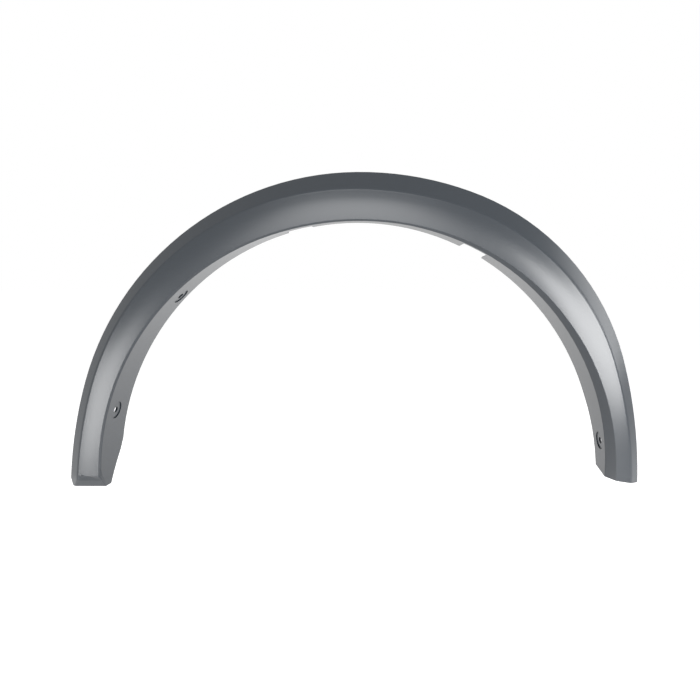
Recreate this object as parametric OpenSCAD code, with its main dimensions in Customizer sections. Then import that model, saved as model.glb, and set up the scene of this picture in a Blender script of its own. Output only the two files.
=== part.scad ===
// Wheel arch trim: one plastic moulding that frames a wheel opening.
// It stands as it sits on the vehicle: the face looks along -Y, +Y leads inboard and the legs end at z = 0.
// A cut across the trim is an open channel: outer rim, chamfer, crowned face, bevel and return flange.
// The edges of that channel follow different chains of arcs, so the section is lofted round the arch.
// Angles are measured at the arch centre from +X, so 0 is the right leg, 90 the crown and 180 the left leg.

/* [Wheel opening] */
// Radius of the opening that the back edge of the flange frames
opening_r = 370; // [345:1:400]
// Height of the arch centre above the end of the left leg
leg_drop = 28.5; // [24:0.5:60]
// Depth of the trim from its face to the back edge of the flange
flange_d = 64; // [56:1:80]
// Wall thickness of the moulding
wall = 2.8; // [2.4:0.1:3.2]

/* [Outer edge] */
// Height of the outer edge above the opening at the crown
crown_band = 74.2; // [68:0.1:84]
// Distance that the outer edge's crown arc is moved towards the right leg
outer_shift = 5.7; // [0:0.1:12]
// How much wider than the opening the crown arc's radius is
outer_crown_more = 118.8; // [100:0.1:140]
// How much wider than the opening the left shoulder's radius is
outer_left_more = 58.7; // [54:0.1:66]
// How much wider than the opening the left leg's radius is
outer_left_leg_more = 261; // [150:1:400]
// How much tighter than the opening the right shoulder's radius is
outer_right_less = 5.4; // [0:0.1:12]
// How much wider than the opening the right leg's radius is
outer_right_leg_more = 305; // [200:1:400]
// Direction where the crown arc meets the left shoulder
outer_left_join = 92; // [91:1:100]
// Direction where the left shoulder meets the left leg
outer_left_leg_join = 165; // [158:1:172]
// Direction where the crown arc meets the right shoulder
outer_right_join = 69; // [64:1:74]
// Direction where the right shoulder meets the right leg
outer_right_leg_join = 14.5; // [10:0.5:20]

/* [Inner edge of the face] */
// Height of the face's inner edge above the opening at the crown
face_rise = 1; // [0.2:0.1:3]
// Distance that the inner edge's crown arc is moved towards the right leg
face_shift = 4.5; // [0:0.1:8]
// How much wider than the opening the inner edge's crown arc is
face_crown_more = 48; // [35:1:60]
// How much tighter than the opening the inner edge's left shoulder is
face_left_less = 1.5; // [0:0.1:5]
// How much tighter than the opening the inner edge's right shoulder is
face_right_less = 7.3; // [5:0.1:10]
// Direction where the inner edge's crown arc meets its left shoulder
face_left_join = 110; // [105:1:115]
// Direction where the inner edge's crown arc meets its right shoulder
face_right_join = 71; // [66:1:76]

/* [Section] */
// Depth of the outer rim, which meets the vehicle's wing
rim_d = 24; // [22:0.5:28]
// Height of the flat rim at the outer edge
rim_h = 3; // [2:0.1:4]
// Depth that the face falls back by towards its outer crease
face_fall = 5.5; // [4.5:0.1:7]
// Radius of the crown across the face
face_crown_r = 200; // [180:1:400]
// Width of the outer chamfer where it is widest
chamfer_crown_w = 27.7; // [24:0.1:32]
// Width of the outer chamfer on the left leg
chamfer_left_w = 16.5; // [14:0.1:19]
// Width of the outer chamfer on the right leg
chamfer_right_w = 15; // [13:0.1:18]
// Direction where the outer chamfer is widest
chamfer_peak = 75; // [65:1:85]
// Angle over which the chamfer narrows again on each side
chamfer_span = 80; // [70:1:95]
// Size of the bevel between face and flange on the left half
bevel_left = 2.5; // [2:0.1:3.5]
// Size of the bevel at the end of the right leg
bevel_right = 12.7; // [9:0.1:14]
// Direction from which the bevel grows towards the right leg
bevel_start = 78; // [70:1:90]
// Softness of the outer crease, as its setback along the face
crease_soft = 4; // [2:0.1:5]
// Softness of the sharp edges, as their setback
edge_soft = 0.8; // [0.5:0.05:1]

/* [Leg ends] */
// Height of the bevel that closes the left leg
end_bevel_h = 18.7; // [12:0.1:22]
// Depth of that bevel where the left leg ends
end_bevel_d = 14; // [11:0.5:15]
// Depth of the flange at the end of the left leg
left_flange_end_d = 29; // [27:0.5:40]
// Height over which the left leg's flange comes to its full depth
left_flange_cut_h = 54; // [40:1:80]
// Width that the left leg's end takes off the rim's corner
end_corner_w = 3.2; // [1:0.1:5]
// Height of that corner cut
end_corner_h = 10.8; // [6:0.1:11.5]
// Height of the right leg's end at its outer edge
right_end_lift = 3.6; // [0:0.1:6]
// Slope of the right leg's end up towards the wheel opening
right_end_slope = 12; // [5:1:18]
// Slope of the flange's end on the right leg, up towards its back edge
right_flange_slope = 11.5; // [5:0.5:14]
// Depth that the right leg's flange would have at the foot of the trim
right_flange_end_d = 48; // [44:1:60]
// Height over which the right leg's flange comes to its full depth
right_flange_cut_h = 130; // [100:1:160]

/* [Screw holes] */
// Radius of the screw holes in the flange
screw_r = 5; // [3:0.1:6]
// Radius of the round recess for each screw's head
recess_r = 13; // [10:0.1:14]
// Depth of that recess below the flange's surface
recess_d = 1.2; // [0.8:0.1:1.6]
// Radius of the pad that backs each recess
pad_r = 16; // [15:0.5:18]
// Thickness that the pad adds behind the flange's wall
pad_t = 1.6; // [1:0.1:3]
// Direction of the lower hole on the left leg
left_low_angle = 167.2; // [164:0.1:170]
// Depth of the lower hole on the left leg
left_low_d = 28; // [24:1:32]
// Direction of the upper hole on the left
left_up_angle = 136.7; // [132:0.1:142]
// Depth of the upper hole on the left
left_up_d = 40; // [34:1:42]
// Direction of the hole on the right leg
right_low_angle = 5.5; // [4:0.1:9]
// Depth of the hole on the right leg
right_low_d = 32; // [30:1:36]

/* [Flange notches] */
// Width of both notches in the flange
notch_w = 39.5; // [30:0.5:45]
// Corner radius of the notches
notch_corner_r = 3; // [2:0.5:4]
// Direction of the left notch
left_notch_angle = 103.9; // [102:0.1:106]
// Depth at which the left notch starts
left_notch_d = 34; // [28:1:45]
// Direction of the right notch
right_notch_angle = 61.3; // [58:0.1:64]
// Depth at which the right notch starts
right_notch_d = 12; // [10:1:20]

/* [Stiffening ribs] */
// Thickness of the ribs across the channel
rib_t = 1.8; // [1.4:0.1:2.4]
// Depth that the ribs reach
rib_d = 20; // [16:0.5:21]
// Number of ribs between two clip towers
rib_count = 3; // [1:1:3]

/* [Clip towers] */
// Length of a clip tower along the arch
tower_l = 24; // [20:0.5:28]
// Width of a clip tower across the face
tower_w = 17; // [16:0.5:18]
// Wall thickness of the clip towers
tower_wall = 2; // [1.6:0.1:2.4]
// Depth of a clip tower's seat, proud of the rim
tower_d = 25; // [24:0.5:28]
// Radius of the keyhole's round end
keyhole_r = 4; // [3.5:0.1:5]
// Width of the keyhole's slot
keyhole_w = 5.4; // [4:0.1:6]
// Angle between clip towers
tower_pitch = 33; // [28:1:36]

/* [Hidden] */

STATION_STEP = 2.5;
RIGHT_END = 0;
CROWN = 90;
LEFT_END = 180;
PAST_RIGHT = -30;
PAST_LEFT = 210;
// Points on a soft edge, and steps across the crowned face
SOFT_STEPS = 2;
CREASE_STEPS = 3;
CROWN_STEPS = 5;
// Largest share of a side that a rounded corner may take
SIDE_SHARE = 0.4;
// Bores and recesses are cut this much past the surfaces that they open in
CLEAR = 1;
TRIM_COLOUR = "#4b4e53";

// An arc of an outline is [centre, radius, lowest direction, highest direction].
function arc_of(centre, r, from, to) = [centre, r, min(from, to), max(from, to)];

// Arcs from the crown down one side. A step is [direction of the join, next radius], and each arc is tangent
// to the one before it.
function side_arcs(centre, r, from, steps, end, i = 0) =
    i == len(steps)
        ? [arc_of(centre, r, from, end)]
        : let (join = steps[i][0], next_r = steps[i][1])
          concat(
              [arc_of(centre, r, from, join)],
              side_arcs(centre + (r - next_r) * [cos(join), sin(join)], next_r, join, steps, end, i + 1)
          );

function outline(shift, rise, crown_r, left, right) =
    let (centre = [shift, rise - crown_r])
    concat(
        side_arcs(centre, crown_r, CROWN, left, PAST_LEFT),
        side_arcs(centre, crown_r, CROWN, right, PAST_RIGHT)
    );

OUTER = outline(
    outer_shift,
    opening_r + crown_band,
    opening_r + outer_crown_more,
    [[outer_left_join, opening_r + outer_left_more], [outer_left_leg_join, opening_r + outer_left_leg_more]],
    [[outer_right_join, opening_r - outer_right_less], [outer_right_leg_join, opening_r + outer_right_leg_more]]
);
FACE_INNER = outline(
    face_shift,
    opening_r + face_rise,
    opening_r + face_crown_more,
    [[face_left_join, opening_r - face_left_less]],
    [[face_right_join, opening_r - face_right_less]]
);
OPENING = [arc_of([0, 0], opening_r, PAST_RIGHT, PAST_LEFT)];

function direction_of(p) =
    let (a = atan2(p[1], p[0]))
    a < -CROWN ? a + 360 : a;

// Distance from a point on the arch's axis, along a direction, to one arc
function ray_length(from_z, angle, arc) =
    let (
        v = [0, from_z] - arc[0],
        along = v * [cos(angle), sin(angle)]
    )
    -along + sqrt(along * along - v * v + arc[1] * arc[1]);

// The same to an outline: the arc whose own span holds the point that the ray meets
function reach(arcs, from_z, angle) =
    [
        for (arc = arcs)
            let (
                t = ray_length(from_z, angle, arc),
                a = direction_of([0, from_z] + t * [cos(angle), sin(angle)] - arc[0])
            )
            if (a >= arc[2] - 0.001 && a <= arc[3] + 0.001) t
    ][0];

// A station is [direction, share of the leg's drop below the arch centre].
LEFT_DROPS = [1 - end_bevel_h / leg_drop, 1 - end_corner_h / leg_drop, 1];
RIGHT_DROPS = [1, 0.5];
STATIONS = concat(
    [for (d = RIGHT_DROPS) [RIGHT_END, d]],
    [for (a = [RIGHT_END : STATION_STEP : LEFT_END]) [a, 0]],
    [for (d = LEFT_DROPS) [LEFT_END, d]]
);

OUTER_RIGHT_R = reach(OUTER, 0, RIGHT_END);
FACE_RIGHT_R = reach(FACE_INNER, 0, RIGHT_END);

// Height of the right leg's end at a distance from the arch's axis. On the flange it rises with depth too.
function right_end_z(r, depth) =
    right_end_lift
        + (OUTER_RIGHT_R - r) * tan(right_end_slope)
        + (r < FACE_RIGHT_R ? max(0, depth - bevel_right) * tan(right_flange_slope) : 0);

// Height of a station's point above the arch centre, where the station lies below that centre
function ray_z(station, r, depth = 0) =
    -station[1] * (leg_drop - (station[0] > CROWN ? 0 : right_end_z(r, depth)));

// Distance of an outline from the arch's axis at a station
function edge_r(arcs, station) =
    let (r = reach(arcs, 0, station[0]))
    station[1] == 0 ? r : reach(arcs, ray_z(station, r), station[0]);

function smooth(t) = t <= 0 ? 0 : t >= 1 ? 1 : t * t * (3 - 2 * t);

function chamfer_w(angle) =
    let (leg_w = angle > chamfer_peak ? chamfer_left_w : chamfer_right_w)
    leg_w + (chamfer_crown_w - leg_w) * smooth(1 - abs(angle - chamfer_peak) / chamfer_span);

function bevel_size(angle) =
    bevel_left + (bevel_right - bevel_left) * max(0, 1 - angle / bevel_start);

function at_depth(p, q, depth) = p + (q - p) * (depth - p[1]) / (q[1] - p[1]);

// Height of a point of a station above the foot of the trim
function height(station, r) =
    leg_drop + (station[1] == 0 ? r * sin(station[0]) : ray_z(station, r));

// Depth of the flange's back edge, cut away towards the end of each leg
function flange_end(station) =
    let (
        left = station[0] > CROWN,
        end_d = left ? left_flange_end_d : right_flange_end_d,
        cut_h = left ? left_flange_cut_h : right_flange_cut_h
    )
    min(flange_d, end_d + (flange_d - end_d) * height(station, edge_r(OPENING, station)) / cut_h);

// Depth that the bevelled end of the left leg cuts back to
function end_cut(station) =
    station[0] == LEFT_END && station[1] > 0
        ? end_bevel_d * (1 - height(station, 0) / end_bevel_h)
        : 0;

// Distance of the rim from the arch's axis, less the corner that the left leg's end takes off
function rim_reach(station) =
    edge_r(OUTER, station) - (station == [LEFT_END, 1] ? end_corner_w : 0);

// The corners of a section as [distance from the arch's axis, depth]:
// rim, rim top, crease, face's inner edge, flange's front edge, flange's back edge
function corners(station) =
    let (
        rim_r = rim_reach(station),
        face_r = edge_r(FACE_INNER, station),
        bevel = bevel_size(station[0]),
        rim_top = [rim_r, rim_d - rim_h],
        crease = [edge_r(OUTER, station) - chamfer_w(station[0]), face_fall],
        face_edge = [face_r, 0],
        flange_front = [face_r - bevel, bevel],
        full_back = [edge_r(OPENING, station), flange_d],
        flange_back = at_depth(flange_front, full_back, flange_end(station)),
        cut = end_cut(station)
    )
    [
        [rim_r, rim_d],
        rim_top,
        cut > 0 ? at_depth(rim_top, crease, cut) : crease,
        cut > 0 ? at_depth(flange_front, flange_back, cut) : face_edge,
        cut > 0 ? at_depth(flange_front, flange_back, cut + 2 * wall) : flange_front,
        flange_back
    ];

function unit(v) = v / norm(v);

// Normal of a step from p to q, on the channel's side
function inward(p, q) = let (u = unit(q - p)) [u[1], -u[0]];

// A corner moved into the channel by a distance, square to both of its sides
function inset_corner(p, q, s, distance) =
    let (n1 = inward(p, q), n2 = inward(q, s))
    q + distance * (n1 + n2) / (1 + n1 * n2);

// The corners of a section moved into the channel, with both of its ends kept at their own depth
function inset(c, distance) =
    let (
        last = len(c) - 1,
        first_n = inward(c[0], c[1]),
        last_n = inward(c[last - 1], c[last]),
        last_u = unit(c[last] - c[last - 1])
    )
    concat(
        [c[0] + distance * first_n],
        [for (i = [1 : last - 1]) inset_corner(c[i - 1], c[i], c[i + 1], distance)],
        [c[last] + distance * last_n - last_u * (distance * last_n[1] / last_u[1])]
    );

// A corner rounded by a curve that touches both of its sides at the setback, or nearer on a short side
function soft(p, q, s, setback, steps) =
    let (
        touch = min(setback, SIDE_SHARE * norm(p - q), SIDE_SHARE * norm(s - q)),
        a = q + unit(p - q) * touch,
        b = q + unit(s - q) * touch
    )
    [for (i = [0 : steps]) let (t = i / steps) (1 - t) * (1 - t) * a + 2 * t * (1 - t) * q + t * t * b];

// Points of the line across the face from p to q, bowed forward
function crowned(p, q, bow) =
    [for (i = [1 : CROWN_STEPS - 1]) let (t = i / CROWN_STEPS) p + (q - p) * t - [0, 4 * bow * t * (1 - t)]];

// A side of the wall from its six corners
function wall_side(c, bow) =
    let (
        crease = soft(c[1], c[2], c[3], crease_soft, CREASE_STEPS),
        face_edge = soft(c[2], c[3], c[4], edge_soft, SOFT_STEPS)
    )
    concat(
        [c[0]],
        soft(c[0], c[1], c[2], edge_soft, SOFT_STEPS),
        crease,
        crowned(crease[CREASE_STEPS], face_edge[0], bow),
        face_edge,
        soft(c[3], c[4], c[5], edge_soft, SOFT_STEPS),
        [c[5]]
    );

function face_bow(station, c) =
    end_cut(station) > 0 ? 0 : pow(norm(c[3] - c[2]), 2) / (8 * face_crown_r);

function reversed(list) = [for (i = [len(list) - 1 : -1 : 0]) list[i]];

function section(station) =
    let (
        c = corners(station),
        bow = face_bow(station, c)
    )
    concat(wall_side(c, bow), reversed(wall_side(inset(c, wall), bow)));

function placed(station, p) =
    station[1] == 0
        ? [p[0] * cos(station[0]), p[1], p[0] * sin(station[0])]
        : [p[0] * cos(station[0]), p[1], ray_z(station, p[0], p[1])];

SECTIONS = [for (s = STATIONS) [for (p = section(s)) placed(s, p)]];
RING = len(SECTIONS[0]);
LAST = len(SECTIONS) - 1;

// Triangles between two stations, and over the wall's thickness at an end
function skin_faces() =
    [
        for (k = [0 : LAST - 1], j = [0 : RING - 1])
            let (
                a = k * RING + j,
                b = k * RING + (j + 1) % RING
            )
            each [[a, b, a + RING], [b, b + RING, a + RING]]
    ];

function end_faces(first, turned) =
    [
        for (j = [0 : RING / 2 - 2])
            let (
                a = first + j,
                b = first + j + 1,
                c = first + RING - 2 - j,
                d = first + RING - 1 - j
            )
            each turned ? [[a, b, c], [a, c, d]] : [[a, c, b], [a, d, c]]
    ];

module channel() {
    polyhedron(
        points = [for (s = SECTIONS) each s],
        faces = concat(skin_faces(), end_faces(0, false), end_faces(LAST * RING, true)),
        convexity = 10
    );
}

// Children are drawn in a plane across the arch: x leads away from the arch centre, y is depth.
module at_angle(angle) {
    rotate([0, -angle, 0]) children();
}

// Children stand on the flange's wheel side: +Z leads towards the wheel, square to the flange.
module on_flange(angle, depth) {
    c = corners([angle, 0]);
    p = at_depth(c[4], c[5], depth);
    lean = atan2(c[4][0] - c[5][0], c[5][1] - c[4][1]);
    at_angle(angle)
        translate([p[0], p[1], 0])
            rotate([0, 0, lean])
                rotate([0, -90, 0])
                    children();
}

SCREWS = [[left_low_angle, left_low_d], [left_up_angle, left_up_d], [right_low_angle, right_low_d]];

module screw_pads() {
    for (s = SCREWS)
        on_flange(s[0], s[1])
            translate([0, 0, -wall - pad_t])
                cylinder(r = pad_r, h = pad_t + wall / 2, $fn = 96);
}

module screw_cuts() {
    for (s = SCREWS)
        on_flange(s[0], s[1]) {
            translate([0, 0, -recess_d])
                cylinder(r = recess_r, h = recess_d + CLEAR, $fn = 96);
            translate([0, 0, -wall - pad_t - CLEAR])
                cylinder(r = screw_r, h = wall + pad_t + 2 * CLEAR, $fn = 64);
        }
}

// Outline of a notch seen from the wheel: a slot from its start to past the flange's back edge
module notch_outline(start) {
    half = notch_w / 2;
    translate([-half, start + notch_corner_r])
        square([notch_w, flange_d - start]);
    translate([notch_corner_r - half, start])
        square([notch_w - 2 * notch_corner_r, 2 * notch_corner_r]);
    for (side = [-1, 1])
        translate([side * (half - notch_corner_r), start + notch_corner_r])
            circle(r = notch_corner_r, $fn = 32);
}

module notch(angle, start) {
    at_angle(angle)
        translate([opening_r - 2 * wall, 0, 0])
            rotate([0, 90, 0])
                linear_extrude(6 * wall)
                    notch_outline(start);
}

// A rib fills the channel across the arch down to its own depth, and is rooted in the walls.
module rib(angle) {
    c = inset(corners([angle, 0]), wall / 2);
    foot = at_depth(c[4], c[5], rib_d);
    at_angle(angle)
        linear_extrude(rib_t, center = true)
            polygon([at_depth(c[1], c[2], rib_d), c[2], c[3], c[4], foot]);
}

// Depth of the middle of the face's wall at a distance from the arch centre
function face_root(c, r) =
    let (t = (r - c[2][0]) / (c[3][0] - c[2][0]))
    c[2][1] + (c[3][1] - c[2][1]) * t + wall / 2;

module tower(angle) {
    c = corners([angle, 0]);
    mid_r = (c[2][0] + c[3][0]) / 2;
    low_r = mid_r - tower_w / 2;
    high_r = mid_r + tower_w / 2;
    at_angle(angle) {
        for (side = [-1, 1])
            translate([0, 0, side * (tower_l - tower_wall) / 2])
                linear_extrude(tower_wall, center = true)
                    polygon([
                        [low_r, face_root(c, low_r)],
                        [high_r, face_root(c, high_r)],
                        [high_r, tower_d],
                        [low_r, tower_d]
                    ]);
        linear_extrude(tower_l - tower_wall, center = true)
            polygon([
                [high_r - tower_wall, face_root(c, high_r - tower_wall)],
                [high_r, face_root(c, high_r)],
                [high_r, tower_d],
                [high_r - tower_wall, tower_d]
            ]);
        translate([mid_r, tower_d - tower_wall, 0])
            rotate([-90, 0, 0])
                linear_extrude(tower_wall)
                    difference() {
                        square([tower_w, tower_l], center = true);
                        circle(r = keyhole_r, $fn = 48);
                        translate([-tower_w, -keyhole_w / 2])
                            square([tower_w, keyhole_w]);
                    }
    }
}

TOWER_COUNT = floor(LEFT_END / tower_pitch);
TOWER_FIRST = CROWN - (TOWER_COUNT - 1) / 2 * tower_pitch;

module towers() {
    for (i = [0 : TOWER_COUNT - 1])
        tower(TOWER_FIRST + i * tower_pitch);
}

// The ribs share out each space between two towers.
module ribs() {
    for (i = [0 : TOWER_COUNT - 2], k = [1 : rib_count])
        rib(TOWER_FIRST + (i + k / (rib_count + 1)) * tower_pitch);
}

OUTER_X = [for (s = STATIONS) rim_reach(s) * cos(s[0])];
MID_X = (max(OUTER_X) + min(OUTER_X)) / 2;

module arch_trim() {
    color(TRIM_COLOUR)
        translate([-MID_X, -flange_d / 2, leg_drop])
            difference() {
                union() {
                    channel();
                    screw_pads();
                    ribs();
                    towers();
                }
                screw_cuts();
                notch(left_notch_angle, left_notch_d);
                notch(right_notch_angle, right_notch_d);
            }
}

arch_trim();
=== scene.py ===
# Looks, light and camera for a moulded wheel arch trim.
# It hangs as it sits on the vehicle: its face looks along -Y and its legs end at z = 0, above the ground.
# Lengths are in metres where a name doesn't say otherwise.

import math

import bmesh
import bpy
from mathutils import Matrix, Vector


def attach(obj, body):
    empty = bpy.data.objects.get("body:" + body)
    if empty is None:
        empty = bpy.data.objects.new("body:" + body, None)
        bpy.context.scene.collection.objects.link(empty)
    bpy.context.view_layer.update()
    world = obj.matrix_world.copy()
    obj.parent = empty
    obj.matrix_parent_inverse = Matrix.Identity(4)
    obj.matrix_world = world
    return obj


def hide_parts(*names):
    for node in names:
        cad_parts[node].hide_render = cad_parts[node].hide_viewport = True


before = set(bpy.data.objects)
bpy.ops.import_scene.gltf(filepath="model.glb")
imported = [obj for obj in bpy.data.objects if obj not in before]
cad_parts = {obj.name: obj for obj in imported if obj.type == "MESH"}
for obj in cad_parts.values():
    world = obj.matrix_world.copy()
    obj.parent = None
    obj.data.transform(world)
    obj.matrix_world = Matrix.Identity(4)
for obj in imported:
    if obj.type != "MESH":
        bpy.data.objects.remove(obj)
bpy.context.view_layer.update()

# Photograph and camera
IMAGE_PX = 700.0
FOCAL_PX = 673.5
SENSOR_MM = 36.0
# Point of the photograph where lines that run inboard would meet
VANISH_X_PX = 380.0
VANISH_Y_PX = 270.0
CAMERA_AT = (0.0389, -1.0287, 0.3243)
# Turned like this, the camera looks level along +Y, square to the trim's face
CAMERA_TURN = (math.radians(90), 0.0, 0.0)

# Moulded plastic
PLASTIC_COLOUR = (0.0130, 0.0185, 0.0255)
PLASTIC_ROUGHNESS = 0.28
PLASTIC_SPECULAR = 0.7
GRAIN_SIZE = 0.0006
GRAIN_DETAIL = 2.0
GRAIN_DEPTH = 0.00004
GRAIN_STRENGTH = 0.25

# Skin of the trim: points nearer to each other than this become one
WELD_REACH = 0.00001
# An edge that turns by this much or more is a crease
CREASE_ANGLE = math.radians(24)
# On the face a smaller turn is a crease already, as between face and chamfer
FACE_CREASE_ANGLE = math.radians(7)
# Share of a normal that looks forward on the face
FACE_SHARE = 0.8

# Left leg's end: heights of the last two rings of points above its bevel
LEFT_LEG_X = -0.35
FACE_RING_Z = 0.0285
BEVEL_TOP_Z = 0.0187
NEAR = 0.00005
# Share of a normal that looks forward on the outer skin
OUTER_SHARE = 0.2
# Points of a ring from the rim to the edge between face and flange
CARRIED_POINTS = 14
# The face lies in front of this depth, and the chamfer behind it
CREASE_Y = -0.0235

# Room
WHITE = (1.0, 1.0, 1.0)
FLOOR_SIZE = 40.0
# The ground lies this far below the trim's legs, as it does on a vehicle
FLOOR_Z = -0.30
FLOOR_COLOUR = (0.8, 0.8, 0.8)
# Glow that makes the floor show white as a background
FLOOR_LIFT = 0.85
# Strength of the world as a light, and as a background
ROOM_LIGHT = 0.20
BACKDROP_LIGHT = 1.0

# Soft boxes look at the trim's middle. Each has its azimuth from the front towards +X and its elevation
# in degrees, its distance, width and height, and its power in watts.
TRIM_MIDDLE = Vector((0.0, 0.0, 0.25))
SOFT_BOXES = {
    "right_box": (44.6, 1.6, 1.6, 1.03, 0.62, 25.8),
    "left_box": (-48.5, -9.1, 1.65, 0.72, 0.53, 10.0),
    "front_box": (-2.3, 15.3, 3.4, 1.3, 1.64, 33.7),
    "side_box": (89.4, 17.0, 2.0, 0.51, 1.31, 8.5),
    "rear_box": (-155.0, 0.0, 2.2, 1.4, 0.8, 1.9),
    "back_box": (180.0, 50.0, 2.2, 1.6, 1.0, 20.0),
}


def rgba(colour):
    return (*colour, 1.0)


def fresh_nodes(owner, output_type):
    """Empties the nodes of a material or world, and gives them an output."""
    owner.use_nodes = True
    nodes = owner.node_tree.nodes
    nodes.clear()
    return nodes, owner.node_tree.links, nodes.new(output_type)


def plastic_material():
    """Dark grey moulded plastic with a fine grain and a satin sheen."""
    material = bpy.data.materials.new("trim_plastic")
    nodes, links, output = fresh_nodes(material, "ShaderNodeOutputMaterial")
    shader = nodes.new("ShaderNodeBsdfPrincipled")
    shader.inputs["Base Color"].default_value = rgba(PLASTIC_COLOUR)
    shader.inputs["Roughness"].default_value = PLASTIC_ROUGHNESS
    shader.inputs["Specular IOR Level"].default_value = PLASTIC_SPECULAR
    place = nodes.new("ShaderNodeTexCoord")
    grain = nodes.new("ShaderNodeTexNoise")
    grain.inputs["Scale"].default_value = 1.0 / GRAIN_SIZE
    grain.inputs["Detail"].default_value = GRAIN_DETAIL
    bump = nodes.new("ShaderNodeBump")
    bump.inputs["Strength"].default_value = GRAIN_STRENGTH
    bump.inputs["Distance"].default_value = GRAIN_DEPTH
    links.new(place.outputs["Object"], grain.inputs["Vector"])
    links.new(grain.outputs["Fac"], bump.inputs["Height"])
    links.new(bump.outputs["Normal"], shader.inputs["Normal"])
    links.new(shader.outputs["BSDF"], output.inputs["Surface"])
    return material


def larger(nodes, links, one, other):
    """The larger one of two values."""
    pick = nodes.new("ShaderNodeMath")
    pick.operation = "MAXIMUM"
    links.new(one, pick.inputs[0])
    links.new(other, pick.inputs[1])
    return pick.outputs[0]


def background_share(nodes, links):
    """1 for rays from the camera, off a gloss and through a clear thing, or else 0."""
    path = nodes.new("ShaderNodeLightPath")
    seen = larger(nodes, links, path.outputs["Is Camera Ray"], path.outputs["Is Transmission Ray"])
    return larger(nodes, links, seen, path.outputs["Is Glossy Ray"])


def show_apart(nodes, links, as_light, as_background, output):
    """Shows one shader to rays that carry light, and another to rays that see the background."""
    mix = nodes.new("ShaderNodeMixShader")
    links.new(background_share(nodes, links), mix.inputs[0])
    links.new(as_light, mix.inputs[1])
    links.new(as_background, mix.inputs[2])
    links.new(mix.outputs[0], output.inputs["Surface"])


def floor_material():
    """Pale floor that shows white and still takes the trim's shadow."""
    material = bpy.data.materials.new("floor_white")
    nodes, links, output = fresh_nodes(material, "ShaderNodeOutputMaterial")
    matte = nodes.new("ShaderNodeBsdfDiffuse")
    matte.inputs["Color"].default_value = rgba(FLOOR_COLOUR)
    lift = nodes.new("ShaderNodeEmission")
    lift.inputs["Color"].default_value = rgba(WHITE)
    lift.inputs["Strength"].default_value = FLOOR_LIFT
    both = nodes.new("ShaderNodeAddShader")
    links.new(matte.outputs["BSDF"], both.inputs[0])
    links.new(lift.outputs["Emission"], both.inputs[1])
    show_apart(nodes, links, matte.outputs["BSDF"], both.outputs[0], output)
    return material


def white_light(nodes, strength):
    """Even white light from all round."""
    light = nodes.new("ShaderNodeBackground")
    light.inputs["Color"].default_value = rgba(WHITE)
    light.inputs["Strength"].default_value = strength
    return light.outputs[0]


def make_world():
    """White as a background all round, and dimmer as a light."""
    world = bpy.data.worlds.new("room")
    bpy.context.scene.world = world
    nodes, links, output = fresh_nodes(world, "ShaderNodeOutputWorld")
    show_apart(nodes, links, white_light(nodes, ROOM_LIGHT), white_light(nodes, BACKDROP_LIGHT), output)


def make_floor():
    bpy.ops.mesh.primitive_plane_add(size=FLOOR_SIZE, location=(0.0, 0.0, FLOOR_Z))
    floor = bpy.context.object
    floor.name = "floor"
    floor.data.materials.append(floor_material())


def make_camera():
    """The photograph's camera: level, with its frame shifted to where the trim hangs."""
    data = bpy.data.cameras.new("camera")
    data.sensor_fit = "HORIZONTAL"
    data.sensor_width = SENSOR_MM
    data.lens = FOCAL_PX / IMAGE_PX * SENSOR_MM
    data.shift_x = (IMAGE_PX / 2 - VANISH_X_PX) / IMAGE_PX
    data.shift_y = (VANISH_Y_PX - IMAGE_PX / 2) / IMAGE_PX
    camera = bpy.data.objects.new("camera", data)
    camera.location = CAMERA_AT
    camera.rotation_euler = CAMERA_TURN
    bpy.context.scene.collection.objects.link(camera)
    bpy.context.scene.camera = camera


def from_front(azimuth, elevation):
    """Direction from the trim: azimuth is turned from -Y towards +X."""
    turn = math.radians(azimuth)
    rise = math.radians(elevation)
    across = math.cos(rise)
    return Vector((math.sin(turn) * across, -math.cos(turn) * across, math.sin(rise)))


def soft_box(name, azimuth, elevation, distance, width, height, power):
    """A rectangular lamp that looks at the middle of the trim."""
    data = bpy.data.lights.new(name, "AREA")
    data.shape = "RECTANGLE"
    data.size = width
    data.size_y = height
    data.energy = power
    lamp = bpy.data.objects.new(name, data)
    lamp.location = TRIM_MIDDLE + from_front(azimuth, elevation) * distance
    lamp.rotation_euler = (TRIM_MIDDLE - lamp.location).to_track_quat("-Z", "Y").to_euler()
    lamp.visible_camera = False
    bpy.context.scene.collection.objects.link(lamp)


def make_lamps():
    for name, placing in SOFT_BOXES.items():
        soft_box(name, *placing)


def on_left_leg(point, height):
    """Is the point on the left leg, at this height?"""
    return point.co.x < LEFT_LEG_X and abs(point.co.z - height) < NEAR


def on_outer_skin(point):
    return any(face.normal.y <= -OUTER_SHARE for face in point.link_faces)


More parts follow.
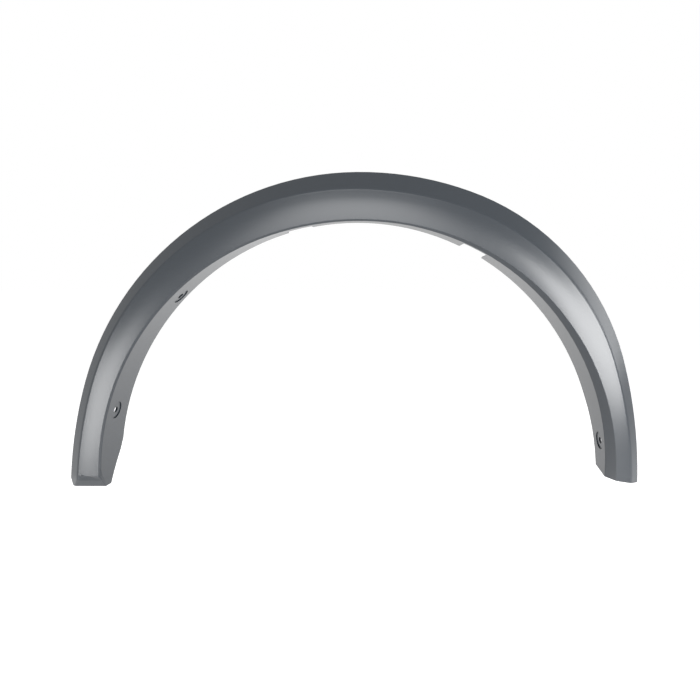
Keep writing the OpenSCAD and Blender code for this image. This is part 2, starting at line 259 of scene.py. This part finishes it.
def front_ring(build, height):
    """Points of the outer skin at one height of the left leg, from the rim inwards."""
    ring = [point for point in build.verts if on_left_leg(point, height) and on_outer_skin(point)]
    return sorted(ring, key=lambda point: point.co.x)


def carry_face_down(build):
    """Keeps the face of the left leg crowned down to the bevel that closes the leg."""
    above = front_ring(build, FACE_RING_Z)
    below = front_ring(build, BEVEL_TOP_Z)
    shift = below[0].co - above[0].co
    for point, model in zip(below[:CARRIED_POINTS], above):
        point.co = model.co + shift
    build.normal_update()


def is_bevel_edge(edge):
    """Is it on the line where the left leg's face turns into its end bevel?"""
    return all(on_left_leg(end, BEVEL_TOP_Z) and end.co.y < CREASE_Y for end in edge.verts)


def mark_creases(build):
    """Shades the skin smoothly, with its creases kept sharp."""
    for face in build.faces:
        face.smooth = True
    for edge in build.edges:
        on_face = all(face.normal.y < -FACE_SHARE for face in edge.link_faces)
        limit = FACE_CREASE_ANGLE if on_face else CREASE_ANGLE
        edge.smooth = edge.calc_face_angle(0.0) < limit and not is_bevel_edge(edge)


def trim_mesh(solid):
    """The trim's own mesh, welded to one skin, with the left leg's end mended."""
    mesh = solid.data.copy()
    mesh.name = "arch_trim_skin"
    build = bmesh.new()
    build.from_mesh(mesh)
    bmesh.ops.remove_doubles(build, verts=build.verts, dist=WELD_REACH)
    carry_face_down(build)
    mark_creases(build)
    build.to_mesh(mesh)
    build.free()
    mesh.materials.clear()
    mesh.materials.append(plastic_material())
    return mesh


def make_trim():
    """The trim as it shows: one piece on the one body, in place of its solid."""
    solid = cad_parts["arch_trim"]
    piece = bpy.data.objects.new("arch_trim_skin", trim_mesh(solid))
    bpy.context.scene.collection.objects.link(piece)
    piece.matrix_world = solid.matrix_world.copy()
    even = piece.modifiers.new("even_shading", "WEIGHTED_NORMAL")
    even.mode = "FACE_AREA"
    even.keep_sharp = True
    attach(piece, "root")
    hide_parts("arch_trim")


make_trim()
make_world()
make_floor()
make_camera()
make_lamps()
bpy.context.scene.view_settings.view_transform = "Standard"
